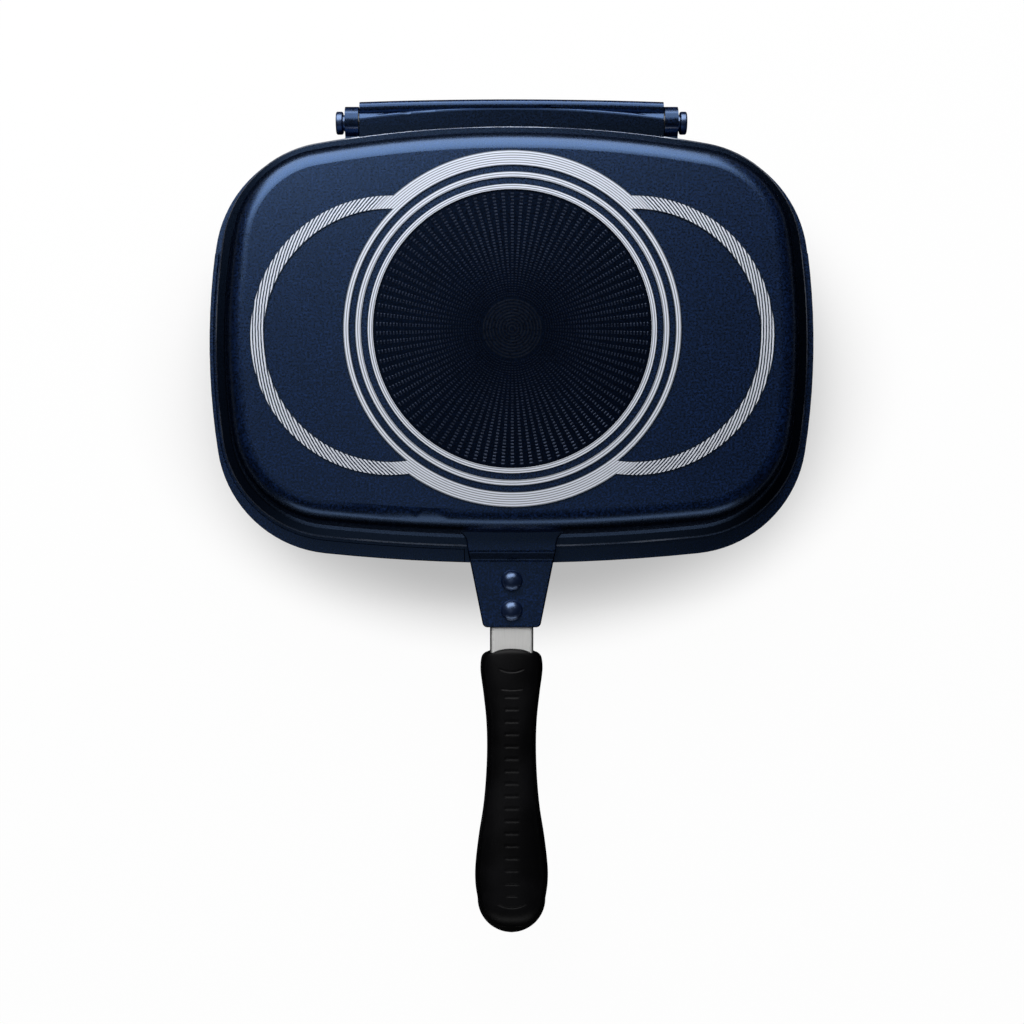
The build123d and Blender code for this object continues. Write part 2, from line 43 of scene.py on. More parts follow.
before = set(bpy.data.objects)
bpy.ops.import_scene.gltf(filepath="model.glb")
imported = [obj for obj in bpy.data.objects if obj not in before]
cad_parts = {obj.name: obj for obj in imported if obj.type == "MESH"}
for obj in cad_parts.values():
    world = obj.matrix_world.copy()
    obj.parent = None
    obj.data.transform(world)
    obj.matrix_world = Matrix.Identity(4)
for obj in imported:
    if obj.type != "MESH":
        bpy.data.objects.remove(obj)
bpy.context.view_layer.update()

MM = 0.001
TOUCH = 1e-7  # metres within which two places are the same
SIDES = ("upper", "lower")


# --- The pan's own measures, in millimetres --------------------------------------------------------

# Both pans' bases lie as far from the middle of the closed pan, and the rings are centred on the origin
MIDDLE_HEIGHT = 40.0
DISC_LEVEL = 79.2  # the upper pan's disc, just under its contact rings
ROUND_SIDES = 48
SMALL_ROUND_SIDES = 32

# Contact rings, and the arm that bows out at each side: inner and outer radius
MAIN_RING = (94.2, 103.0)
MIDDLE_RING = (87.2, 90.7)
INNER_RING = (80.3, 83.5)
ARM_RADII = (72.9, 80.6)
ARM_CENTRE = (70.5, -3.9)
NECK_RADIUS = 97.6  # the main ring's outer radius where an arm goes round it
ARM_HATCH = (102.5, 108.0)  # radius over which the fine circles turn into the hatch
FINE_PITCH = 1.35  # spacing of the turned lines on the rings
HATCH_PITCH = 1.6  # and on the arms

# The coat by height from the middle: where each band fades in and where it fades out
WALL_BAND = ((7.8, 8.8), (35.6, 38.8))
PLATE_BAND = ((8.3, 8.4), (8.6, 8.7))
RIM_BAND = ((8.7, 8.8), (9.2, 10.2))
RIM_HIGHLIGHT_BAND = ((7.9, 8.1), (8.85, 8.9))
BASE_HEIGHT = 39.0
RING_FACE_HEIGHT = 39.9
DISC_EDGE = (80.0, 80.6)
RIM_REACH = 126.0  # from the origin to the rim's front and rear
PLATE_START = 98.0
# Where the tang ends in the wall: half width, and distance from the origin
TANG_SIDE = (26.0, 29.0)
TANG_ROOT = (-112.0, -108.0)

# How far inside a ferrule's side its bend begins and ends, where a painted dark reflection lies
BEND_SHADE_SPAN = (1.7, 0.5)

# Handle rivets: distance from the origin, height of the seat over the parting face, shank and tail
RIVET_PLACES = (145.4, 163.0)
TANG_HEIGHT = 12.5
SHANK_RADIUS = 3.0
SHANK_LENGTH = 9.5
TAIL_RADIUS = 5.0
TAIL_HEIGHT = 2.0
TAIL_ROUND = 0.5

# Hinge caps, from the lug outward
CAP_NECK_RADIUS = 4.7
CAP_NECK_END = 2.6
CAP_RADIUS = 6.7
CAP_ENDS = (1.4, 5.6)
CAP_ROUND = 1.0

# Grip stations: distance from the origin, then half width, or height over the parting face
GRIP_WIDTHS = (
    (186.0, 16.6), (190.0, 18.0), (195.0, 18.5), (200.0, 18.4), (212.0, 16.8), (228.0, 15.1), (244.0, 14.6),
    (262.0, 15.2), (280.0, 16.8), (298.0, 19.6), (316.0, 21.6), (326.0, 21.5), (334.8, 20.2),
)
GRIP_HEIGHTS = (
    (186.0, 12.4), (190.0, 13.1), (198.0, 13.4), (228.0, 13.5), (244.0, 13.6), (262.0, 14.0), (280.0, 14.6),
    (298.0, 15.4), (316.0, 15.9), (334.8, 15.6),
)
GRIP_START = 186.0
GRIP_TAIL = 334.8
GRIP_END = 355.0
GRIP_ROW = 0.42
GRIP_COLUMNS = 104
ROW_CROWDING = 0.04  # how much closer the rows lie at both ends
TIP_GAP = 0.02
END_REACH = 6.0  # both ends of an edge together lie this near to a grip's end
FRONT_ROUND = 3.0
FRONT_PULL = (0.9, 0.8)  # how much of that rounding the width and the height take
FRONT_BOW = (2.4, 0.7, 14.0)  # at the corners, at the middle, and how far back it fades
TAIL_LEDGE = 3.4
TAIL_CURVE = (3.2, 0.6)
SKIRT_BEVEL = 0.4
SKIRT_LIP = (0.15, 0.1)
LEDGE_INSET = 0.5
LEDGE_RISE = 0.25
CROWN_START = 0.12  # share of a section that the skirt and the ledge take
CROWN_BULGE = 2.7  # 2 is an ellipse, more is squarer

# Cross ribs and curved grooves on a grip's top
RELIEF_START = 0.3  # share of a section above which they are cut
RIB_SPAN = (214.0, 320.0)
RIB_FLANK = (0.35, 1.15)
STRIP_FADE = 0.9
GROOVE_DEPTH = 0.35
GROOVE_FLOOR = 0.2
GROOVE_FADE = 0.8
# Distance from the origin, radius of the curve or 0, half length, half width
GROOVES = (
    (199.3, -14.0, 7.4, 0.7), (209.8, -40.0, 6.4, 0.7), (324.2, 0.0, 4.6, 0.8), (331.2, 0.0, 3.6, 0.8),
    (338.0, -16.0, 8.6, 0.8),
)
# Pockets in a grip's parting face: distance from the origin, radius, depth
GRIP_POCKETS = ((205.0, 3.7, 2.6), (223.0, 3.7, 2.6), (312.0, 8.1, 5.2))

# Disc pattern
DASH_MARGIN = 2.2
DASH_STOP = 19.0
DASH_WIDTH = (0.6, 1.7)  # at the middle of the disc, and how much more at its edge
DASH_REACH = (0.5, 0.5)
DASH_CROWN = (0.6, 0.25, 1)
DASH_SUNK = 0.2  # share of a dash's height that is sunk into the disc
DASH_CROWDING = (0.6, 0.4)
DASH_WEAR = (12.0, 50.0)  # radius over which the dashes go from fresh to rubbed
CIRCLE_SIDES = 96
CIRCLES_STOP = 18.0
CIRCLE_INSET = 0.45
CIRCLE_SLOPE = 0.4
CIRCLE_RISE = 0.05


# --- Colours that lie over the enamel, linear ------------------------------------------------------

DISC_ENAMEL = (0.0005, 0.0016, 0.0060)
# painted shade on the upper pan's walls
WALL_SHADE = (0.0002, 0.0006, 0.0020)
# painted shade on the hinge plate, the rim and the tangs' slopes
PAINTED_SHADE = (0.0003, 0.0009, 0.0030)
# painted shade round the raised rings and arms
RING_EDGE_SHADE = (0.0006, 0.0008, 0.0015)
# painted highlight along the upper rim's edge
RIM_HIGHLIGHT_COLOUR = (0.75, 0.82, 0.95)
COAT_GLOSS = (0.30, 0.52, 1.0)
PAINT_GLOSS = (0.42, 0.60, 1.0)
DASH_GLOSS = (0.5, 0.66, 1.0)


# --- The stage, in metres and watts ----------------------------------------------------------------

# Soft boxes: place, target, size, power
LIGHTS = {
    "rear_light": ((-0.22, 1.0, 0.80), (0.0, 0.0, 0.04), (1.5, 1.3), 28.5),
    "left_lamp": ((-0.48, 0.62, 1.40), (0.0, 0.0, 0.04), (0.5, 0.4), 0.5),
    "overhead_card": ((-0.30, -0.25, 2.20), (0.0, 0.0, 0.04), (0.9, 1.3), 0.8),
    "front_card": ((0.0, -1.9, 0.70), (0.0, 0.0, 0.08), (2.6, 0.6), 7.5),
}
WHITE = (1.0, 1.0, 1.0, 1.0)
ROOM_COLOUR = (0.97, 0.98, 1.0, 1.0)
ROOM_LIGHT = 0.015
BACKDROP_LIGHT = 0.97
CAMERA_PLACE = (-0.0137, -0.1430, 1.0437)
CAMERA_SHIFT = (0.0229, 0.0631)
CAMERA_LENS = 58.79
CAMERA_SENSOR = 36.0
FLOOR_SIZE = 6.0
# The oval round the pans in which the floor keeps its shadow, and the glow inside and outside it
SHADOW_PLACE = (0.0, 0.16, 0.0)
SHADOW_STRETCH = (5.55, 7.9, 1.0)
SHADOW_EDGE = (0.95, 1.4)
FLOOR_GLOW = (0.44, 0.97)
MIRRORED_REACH = (0.9, 3.5)  # distance over which the mirrored floor goes from dark to white


# --- Settings --------------------------------------------------------------------------------------


def millimetres(name, description, default):
    """A length setting, in metres."""
    return FloatProperty(name=name, description=description, default=default * MM, unit="LENGTH", precision=4)


def colour(name, description, default):
    """A linear colour setting."""
    return FloatVectorProperty(
        name=name, description=description, default=default, subtype="COLOR", size=3, min=0.0, max=1.0
    )


class FlipPanSizes(bpy.types.PropertyGroup):
    """Lengths of the pieces that are modelled here"""

    parting_height: millimetres("Parting height", "Table to the middle of the gap between the pans", 43.7)
    parting_gap: millimetres("Parting gap", "Gap between the upper and the lower grip", 0.4)
    skirt_height: millimetres("Skirt height", "Straight lower edge of a grip", 3.0)
    skirt_ledge: millimetres("Skirt ledge", "Step above the skirt of a grip", 1.1)
    rib_pitch: millimetres("Rib pitch", "Cross ribs along a grip", 7.3)
    rib_depth: millimetres("Rib depth", "Depth of the grooves between ribs", 0.32)
    strip_width: millimetres("Strip width", "Width of the ribbed strip", 9.0)
    rivet_radius: millimetres("Rivet radius", "Head of a handle rivet", 6.4)
    rivet_height: millimetres("Rivet height", "Height of a rivet head", 4.4)
    disc_radius: millimetres("Disc radius", "Inner edge of the inner contact ring", 80.3)
    dash_pitch: millimetres("Dash pitch", "Dashes along one row of the disc", 2.0)
    dash_height: millimetres("Dash height", "Relief of the dashes", 0.24)
    circle_pitch: millimetres("Circle pitch", "Fine circles at the centre of the disc", 1.85)
    dash_rows: IntProperty(
        name="Dash rows", description="Rows of dashes round the disc", default=90, min=12, max=180
    )


class FlipPanColours(bpy.types.PropertyGroup):
    """Linear colours of the finishes"""

    coat: colour("Coat", "Navy enamel of both pans", (0.0014, 0.0050, 0.0220))
    bright: colour("Turned metal", "Contact rings and arms", (0.84, 0.88, 0.97))
    dash: colour("Dash", "Dashes on the disc", (0.007, 0.010, 0.021))
    plastic: colour("Grip", "Black plastic of the grips", (0.0012, 0.0012, 0.0016))
    steel: colour("Steel", "Ferrules, rod and screws", (0.74, 0.74, 0.73))
    rubber: colour("Seal", "Seal in the rim", (0.010, 0.010, 0.011))
    floor: colour("Floor", "Pale studio floor", (0.97, 0.97, 0.97))


def sizes():
    """The lengths of this scene."""
    return bpy.context.scene.flip_pan_sizes


def colours():
    """The colours of this scene."""
    return bpy.context.scene.flip_pan_colours


# --- Finishes --------------------------------------------------------------------------------------


SOCKETS = {
    "colour": "Base Color",
    "metallic": "Metallic",
    "roughness": "Roughness",
    "ior": "IOR",
    "ior_level": "Specular IOR Level",
    "specular_tint": "Specular Tint",
}


class Finish:
    """One material, with short calls for its nodes."""

    def __init__(self, name):
        self.material = bpy.data.materials.new(name)
        self.material.use_nodes = True
        self.tree = self.material.node_tree
        self.shader = self.tree.nodes["Principled BSDF"]

    def node(self, kind, inputs=None, **settings):
        """Adds a node and returns it, with its inputs linked or set."""
        added = self.tree.nodes.new(kind)
        for key, value in settings.items():
            setattr(added, key, value)
        for key, value in (inputs or {}).items():
            self.feed(added.inputs[key], value)
        return added

    def feed(self, socket, value):
        """Links a socket to a socket, or sets it to a value."""
        if isinstance(value, bpy.types.NodeSocket):
            self.tree.links.new(value, socket)
        else:
            socket.default_value = value

    def calc(self, operation, *values):
        """A Math node over one to three values."""
        return self.node("ShaderNodeMath", dict(enumerate(values)), operation=operation).outputs[0]

    def chain(self, operation, *values):
        """A Math node for each further value, one after another."""
        result = values[0]
        for value in values[1:]:
            result = self.calc(operation, result, value)
        return result

    def product(self, *values):
        """Multiplies several values."""
        return self.chain("MULTIPLY", *values)

    def most(self, *values):
        """The largest of several values."""
        return self.chain("MAXIMUM", *values)

    def least(self, *values):
        """The smallest of several values."""
        return self.chain("MINIMUM", *values)

    def level_distance(self, along_x, along_y):
        """Length of a level vector."""
        squares = (self.calc("POWER", part, 2.0) for part in (along_x, along_y))
        return self.calc("SQRT", self.calc("ADD", *squares))

    def grey(self, value):
        """A grey colour of a value."""
        return self.node("ShaderNodeCombineColor", {0: value, 1: value, 2: value}).outputs[0]

    def place(self, stretch=None):
        """Object coordinates, in metres, stretched along the axes."""
        source = self.node("ShaderNodeTexCoord").outputs["Object"]
        if stretch:
            source = self.node("ShaderNodeMapping", {"Vector": source, "Scale": stretch}).outputs[0]
        return source

    def axes(self, vector):
        """The three numbers of a vector."""
        return tuple(self.node("ShaderNodeSeparateXYZ", {0: vector}).outputs)

    def distance(self, vector):
        """Length of a vector."""
        return self.node("ShaderNodeVectorMath", {0: vector}, operation="LENGTH").outputs["Value"]

    def noise(self, place, scale, detail=2.0, roughness=0.5):
        """Noise from 0 to 1 with so many features a metre."""
        inputs = {"Vector": place, "Scale": scale, "Detail": detail, "Roughness": roughness}
        return self.node("ShaderNodeTexNoise", inputs).outputs[0]

    def step(self, value, low, high, start=0.0, end=1.0):
        """Goes smoothly from start to end while value goes from low to high."""
        inputs = {"Value": value, "From Min": low, "From Max": high, "To Min": start, "To Max": end}
        return self.node("ShaderNodeMapRange", inputs, interpolation_type="SMOOTHSTEP").outputs[0]

    def band(self, value, rise, fall):
        """1 between two smooth steps, each with its low and high value, and 0 outside."""
        return self.product(self.step(value, *rise), self.step(value, *fall, 1.0, 0.0))

    def mix(self, share, first, second):
        """Mixes two values."""
        return self.node("ShaderNodeMix", {0: share, 2: first, 3: second}).outputs[0]

    def blend(self, share, first, second, how="MIX"):
        """Mixes two colours."""
        added = self.node("ShaderNodeMix", data_type="RGBA", blend_type=how)
        self.feed(added.inputs[0], share)
        for socket, value in ((added.inputs[6], first), (added.inputs[7], second)):
            self.feed(socket, (*value, 1.0) if isinstance(value, tuple) else value)
        return added.outputs[2]

    def glow(self, share, shader, strength):
        """Mixes a shader with white light."""
        white = self.node("ShaderNodeEmission", {"Color": WHITE, "Strength": strength}).outputs[0]
        return self.node("ShaderNodeMixShader", {0: share, 1: shader, 2: white}).outputs[0]

    def relief(self, height, depth, strength):
        """Bump from a height of 0 to 1, depth in metres."""
        added = self.node("ShaderNodeBump", {"Height": height, "Distance": depth, "Strength": strength})
        self.feed(self.shader.inputs["Normal"], added.outputs[0])

    def surface(self, **inputs):
        """Sets or links sockets of the shader, and returns the material."""
        for key, value in inputs.items():
            self.feed(self.shader.inputs[SOCKETS[key]], (*value, 1.0) if isinstance(value, tuple) else value)
        return self.material


def tinted(base, share):
    """A colour made lighter or darker."""
    return tuple(min(1.0, channel * share) for channel in base)


class CoatSpot:
    """Where a point of a pan lies, in millimetres, and how far it is from the turned metal."""

    def __init__(self, finish, place):
        self.x, self.y, self.height = (finish.product(number, 1 / MM) for number in finish.axes(place))
        self.side = finish.calc("ABSOLUTE", self.x)
        self.depth = finish.calc("ABSOLUTE", self.y)
        self.radius = finish.level_distance(self.x, self.y)
        self.away = finish.calc("ABSOLUTE", finish.calc("SUBTRACT", self.height, MIDDLE_HEIGHT))
        # 1 on level faces, 0 on upright ones
        normal = finish.node("ShaderNodeTexCoord").outputs["Normal"]
        self.facing = finish.calc("ABSOLUTE", finish.axes(normal)[2])
        self.base = finish.calc("GREATER_THAN", self.away, BASE_HEIGHT)
        self.to_metal = self.ring_distance(finish)
        ring_face = finish.calc("GREATER_THAN", self.away, RING_FACE_HEIGHT)
        self.metal = finish.product(ring_face, finish.step(self.to_metal, -0.25, -0.1, 1.0, 0.0))

    def ring_distance(self, finish):
        """Signed distance to the turned rings and arms, below nothing inside them."""
        arm = finish.level_distance(
            finish.calc("SUBTRACT", self.side, ARM_CENTRE[0]), finish.calc("SUBTRACT", self.y, ARM_CENTRE[1])
        )
        outer = finish.least(
            finish.calc("SUBTRACT", self.radius, MAIN_RING[1]), finish.calc("SUBTRACT", arm, ARM_RADII[1])
        )
        outer = finish.most(outer, finish.calc("SUBTRACT", ARM_RADII[0], arm))
        outer = finish.least(outer, finish.calc("SUBTRACT", self.radius, NECK_RADIUS))
        outer = finish.most(outer, finish.calc("SUBTRACT", MAIN_RING[0], self.radius))
        return finish.least(outer, self.to_ring(finish, MIDDLE_RING), self.to_ring(finish, INNER_RING))

    def to_ring(self, finish, ring):
        """Signed distance to one plain ring."""
        inner, outer = ring
        from_middle = finish.calc("ABSOLUTE", finish.calc("SUBTRACT", self.radius, (inner + outer) / 2))
        return finish.calc("SUBTRACT", from_middle, (outer - inner) / 2)


def painted_wall_shade(finish, spot):
    """Where painted shade darkens the upper pan's walls, between the rim's edge and the base."""
    off_tang = finish.most(finish.step(spot.side, *TANG_SIDE), finish.step(spot.y, *TANG_ROOT))
    return finish.product(
        finish.band(spot.away, *WALL_BAND),
        finish.step(spot.depth, RIM_REACH - 0.6, RIM_REACH, 0.85, 0.0),
        off_tang,
        finish.step(spot.height, MIDDLE_HEIGHT + 1.0, MIDDLE_HEIGHT + 3.0),
    )


def painted_shade_places(finish, spot):
    """Where painted shade darkens the enamel and takes its gloss off: the hinge plate, the rim at the sides
    and less behind, and the tangs' slopes.
    """
    plate = finish.product(
        finish.band(spot.away, *PLATE_BAND),
        finish.step(spot.facing, 0.9, 0.97),
        finish.step(spot.y, PLATE_START, PLATE_START + 2.0, 0.0, 0.8),
    )
    sides = finish.step(spot.side, 100.0, 160.0, 0.0, 0.85)
    rear = finish.step(spot.y, 80.0, 110.0, 0.0, 0.45)
    rim = finish.product(finish.band(spot.away, *RIM_BAND), finish.most(sides, rear))
    slope = finish.product(
        finish.step(spot.facing, 0.78, 0.98, 0.85, 0.0),
        finish.step(spot.y, -RIM_REACH - 1.6, -RIM_REACH - 0.2, 1.0, 0.0),
    )
    return finish.most(plate, rim, slope)


def painted_rim_highlight(finish, spot, place):
    """Where a painted highlight lies along the upper rim's edge, brightest behind, dim towards the sides and
    uneven along it.
    """
    return finish.product(
        finish.band(spot.away, *RIM_HIGHLIGHT_BAND),
        finish.band(spot.facing, (0.3, 0.6), (0.8, 0.9)),
        finish.step(spot.depth, RIM_REACH - 0.4, RIM_REACH, 1.0, 0.0),
        finish.step(spot.y, -60.0, 60.0, 0.3, 0.9),
        finish.step(spot.side, 86.0, 104.0, 1.0, 0.16),
        finish.step(finish.noise(place, 24.0, 2.0), 0.34, 0.60, 0.2, 1.0),
    )


def turned_lines(finish, spot, place):
    """Fine circles on the rings and a coarse hatch on the arms, dark along each line."""
    fine = finish.calc("PINGPONG", finish.calc("DIVIDE", spot.radius, FINE_PITCH), 0.5)
    slow = finish.product(finish.noise(place, 30.0, 1.0), 0.5)
    quick = finish.product(finish.noise(place, 420.0, 2.0), 0.35)
    wander = finish.calc("ADD", slow, quick)
    hatch = finish.calc("ADD", finish.calc("DIVIDE", spot.radius, HATCH_PITCH), wander)
    hatch = finish.calc("PINGPONG", hatch, 0.5)
    on_arm = finish.step(spot.radius, *ARM_HATCH)
    return finish.mix(on_arm, finish.step(fine, 0.08, 0.28, 0.28, 1.0), finish.step(hatch, 0.19, 0.27))


def coat_finish():
    """Navy enamel with fine flecks, and turned metal where the contact rings and arms are, with painted shade
    on walls, hinge plate, rim, tangs' slopes and round the rings, and a painted highlight along the upper
    rim's edge.
    """
    finish = Finish("navy_coat")
    place = finish.place()
    spot = CoatSpot(finish, place)
    fleck = finish.noise(place, 820.0, 3.0, 0.8)
    cloud = finish.noise(place, 60.0, 2.0)
    tone = finish.product(
        finish.step(fleck, 0.43, 0.72, 0.25, 4.2), finish.step(cloud, 0.3, 0.7, 0.88, 1.12)
    )
    disc = finish.product(spot.base, finish.step(spot.radius, *DISC_EDGE, 1.0, 0.0))
    shade_places = painted_shade_places(finish, spot)
    lines = turned_lines(finish, spot, place)
    shade = finish.blend(1.0, tuple(colours().coat), finish.grey(tone), "MULTIPLY")
    for where, layer in (
        (finish.product(disc, 0.8), DISC_ENAMEL),
        # painted shade on the walls
        (painted_wall_shade(finish, spot), WALL_SHADE),
        # painted shade on the plate, the rim and the tangs' slopes
        (shade_places, PAINTED_SHADE),
        # painted shade round the rings
        (finish.product(spot.base, finish.step(spot.to_metal, 0.3, 1.1, 1.0, 0.0)), RING_EDGE_SHADE),
        (spot.metal, finish.blend(1.0, tuple(colours().bright), finish.grey(lines), "MULTIPLY")),
        # painted highlight on the rim's edge
        (painted_rim_highlight(finish, spot, place), RIM_HIGHLIGHT_COLOUR),
    ):
        shade = finish.blend(where, shade, layer)
    enamel = finish.calc("SUBTRACT", 1.0, spot.metal)
    # under a dark colour, Metallic takes the gloss off: on the darker disc, and as painted shade at the
    # shaded places
    dull_and_shade = finish.most(finish.product(disc, enamel, 0.8), shade_places)
    relief = finish.calc("ADD", finish.product(fleck, enamel), finish.product(spot.metal, lines))
    finish.relief(relief, 0.00006, 0.3)
    return finish.surface(
        colour=shade,
        metallic=finish.calc("ADD", finish.product(spot.metal, 0.2), dull_and_shade),
        roughness=finish.mix(spot.metal, finish.step(fleck, 0.3, 0.75, 0.25, 0.33), 0.38),
        ior=1.9,
        ior_level=0.5,
        specular_tint=COAT_GLOSS,
    )


def plastic_finish():
    """Black moulded plastic with a faint leather grain."""
    finish = Finish("grip_plastic")
    place = finish.place()
    wear = finish.noise(place, 35.0, 3.0)
    base = tuple(colours().plastic)
    finish.relief(finish.noise(place, 2600.0, 3.0, 0.6), 0.00004, 0.4)
    return finish.surface(
        colour=finish.blend(finish.step(wear, 0.35, 0.7), base, tinted(base, 2.2)),
        roughness=finish.step(wear, 0.3, 0.7, 0.40, 0.52),
        ior_level=0.16,
    )


def steel_finish(name, stretch, rough=(0.24, 0.42), tint=1.0, metallic=1.0, half_width=0.0):
    """Steel with drawn lines across the axes of larger stretch, and a painted dark reflection along the bend
    of a side.
    """
    finish = Finish(name)
    lines = finish.noise(finish.place(stretch), 1.0, 4.0, 0.6)
    smear = finish.noise(finish.place(), 90.0, 2.0)
    base = tinted(colours().steel, tint)
    drawn = finish.blend(lines, tinted(base, 0.78), base)
    if half_width:
        across = finish.calc("ABSOLUTE", finish.axes(finish.place())[0])
        bend_shade = finish.step(across, half_width - BEND_SHADE_SPAN[0] * MM, half_width - BEND_SHADE_SPAN[1] * MM)
        # painted dark reflection along the bend
        drawn = finish.blend(bend_shade, drawn, tinted(base, 0.12))
    finish.relief(lines, 0.00002, 0.35)
    return finish.surface(colour=drawn, roughness=finish.step(smear, 0.3, 0.7, *rough), metallic=metallic)


def paint_finish(name):
    """Glossy navy paint on small turned pieces."""
    finish = Finish(name)
    fleck = finish.noise(finish.place(), 1500.0, 2.0)
    base = tuple(colours().coat)
    finish.relief(fleck, 0.00003, 0.2)
    return finish.surface(
        colour=finish.blend(finish.step(fleck, 0.35, 0.7), base, tinted(base, 1.7)),
        roughness=finish.step(fleck, 0.3, 0.8, 0.28, 0.36),
        ior=2.4,
        ior_level=0.5,
        specular_tint=PAINT_GLOSS,
    )


def dash_finish():
    """Enamel that is rubbed thin on the raised dashes and circles, less so towards the middle."""
    finish = Finish("worn_dash")
    place = finish.place()
    rub = finish.noise(place, 700.0, 2.0)
    base = tuple(colours().dash)
    rubbed = finish.blend(finish.step(rub, 0.35, 0.65), base, tinted(base, 1.8))
    reach = finish.level_distance(*finish.axes(place)[:2])
    fade = (DASH_WEAR[0] * MM, DASH_WEAR[1] * MM)
    return finish.surface(
        colour=finish.blend(finish.step(reach, *fade), tinted(base, 0.3), rubbed),
        roughness=finish.step(rub, 0.3, 0.7, 0.25, 0.38),
        metallic=finish.step(reach, *fade, 0.55, 0.1),
        ior=1.6,
        specular_tint=DASH_GLOSS,
    )


def rubber_finish():
    """Matt dark rubber with a dusty bloom."""
    finish = Finish("seal_rubber")
    place = finish.place()
    bloom = finish.noise(place, 220.0, 3.0)
    base = tuple(colours().rubber)
    finish.relief(finish.noise(place, 1800.0), 0.00004, 0.3)
    return finish.surface(
        colour=finish.blend(finish.step(bloom, 0.4, 0.7), base, tinted(base, 2.4)),
        roughness=finish.step(bloom, 0.3, 0.7, 0.6, 0.78),
        ior_level=0.3,
    )


def floor_finish():
    """Pale floor that reads white to the camera and keeps soft shadows."""
    finish = Finish("studio_floor")
    place = finish.place()
    base = tuple(colours().floor)
    finish.surface(
        colour=finish.blend(finish.step(finish.noise(place, 3.0), 0.3, 0.7), base, tinted(base, 1.01)),
        roughness=0.9,
    )
    path = finish.node("ShaderNodeLightPath").outputs
    # the glow gives way to the shadow close to the pans
    settings = {"Vector": place, "Location": SHADOW_PLACE, "Scale": SHADOW_STRETCH}
    beside = finish.distance(finish.node("ShaderNodeMapping", settings).outputs[0])
    glow = finish.product(path["Is Camera Ray"], finish.step(beside, *SHADOW_EDGE, *FLOOR_GLOW))
    mixed = finish.glow(glow, finish.shader.outputs[0], 1.0)
    # mirrored in the object, the floor is white further off and black close to it: a painted shade
    mirrored = finish.calc("ADD", path["Is Glossy Ray"], path["Is Transmission Ray"])
    mixed = finish.glow(mirrored, mixed, finish.step(finish.distance(place), *MIRRORED_REACH))
    finish.feed(finish.tree.nodes["Material Output"].inputs["Surface"], mixed)
    return finish.material


# --- Meshes ----------------------------------------------------------------------------------------


def coat_node(name, material):
    """Gives a node of the frame its finish."""
    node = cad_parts[name]
    node.data.materials.clear()
    node.data.materials.append(material)


def add_piece(name, shape, material, body, slot, *nodes, sharp=40.0):
    """Turns a bmesh into a smooth piece on a body, with edges above sharp degrees kept crisp.

    It stands for the nodes of the frame that are named.
    """
    bmesh.ops.remove_doubles(shape, verts=shape.verts[:], dist=1e-6)
    bmesh.ops.recalc_face_normals(shape, faces=shape.faces[:])
    for face in shape.faces:
        face.smooth = True
    mesh = bpy.data.meshes.new(name)
    shape.to_mesh(mesh)
    shape.free()
    mesh.materials.append(material)
    mesh.set_sharp_from_angle(angle=math.radians(sharp))
    piece = bpy.data.objects.new(name, mesh)
    bpy.context.scene.collection.objects.link(piece)
    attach(piece, body)
    if nodes:
        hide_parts(*nodes)


def edges_of(verts):
    """The edges at some vertices, each once."""
    return list(dict.fromkeys(edge for vertex in verts for edge in vertex.link_edges))


def only(kind, parts):
    """The vertices or edges among the parts that an operator gives back."""
    return [part for part in parts if isinstance(part, kind)]


def mirror_down(shape, height):
    """Mirrors a shape of the upper side over a level plane, on to the lower side."""
    bmesh.ops.scale(shape, vec=(1, 1, -1), verts=shape.verts[:], space=Matrix.Translation((0, 0, -height)))


def drum(shape, radius, low, high, edge=0.0, centre=(0, 0), segments=ROUND_SIDES, rounds=4):
    """A round disc on Z, with its rims rounded by edge."""
    made = bmesh.ops.create_cone(
        shape, cap_ends=True, segments=segments, radius1=radius, radius2=radius, depth=high - low,
        matrix=Matrix.Translation((*centre, (low + high) / 2)),
    )
    if edge:
        lines = edges_of(made["verts"])
        rims = [line for line in lines if abs(line.verts[0].co.z - line.verts[1].co.z) < TOUCH]
        bmesh.ops.bevel(
            shape, geom=rims, offset=edge, segments=rounds, profile=0.5, affect="EDGES", material=-1
        )


def between(value, table):
    """Value of a smooth curve through (place, value) rows, sorted by place."""
    if value <= table[0][0]:
        return table[0][1]
    if value >= table[-1][0]:
        return table[-1][1]
    index = next(i for i in range(1, len(table)) if value <= table[i][0])
    (x0, y0), (x1, y1) = table[index - 1], table[index]
    before = table[max(0, index - 2)]
    after = table[min(len(table) - 1, index + 1)]
    slope0 = (y1 - before[1]) / (x1 - before[0])
    slope1 = (after[1] - y0) / (after[0] - x0)
    run = x1 - x0
    t = (value - x0) / run
    return (
        (2 * t**3 - 3 * t**2 + 1) * y0 + (t**3 - 2 * t**2 + t) * run * slope0
        + (3 * t**2 - 2 * t**3) * y1 + (t**3 - t**2) * run * slope1
    )


def ease(value, low, high):
    """Smooth step from 0 to 1."""
    t = min(1.0, max(0.0, (value - low) / (high - low)))
    return t * t * (3 - 2 * t)


def parting_face():
    """Height of an upper grip's parting face, in metres."""
    return sizes().parting_height + sizes().parting_gap / 2


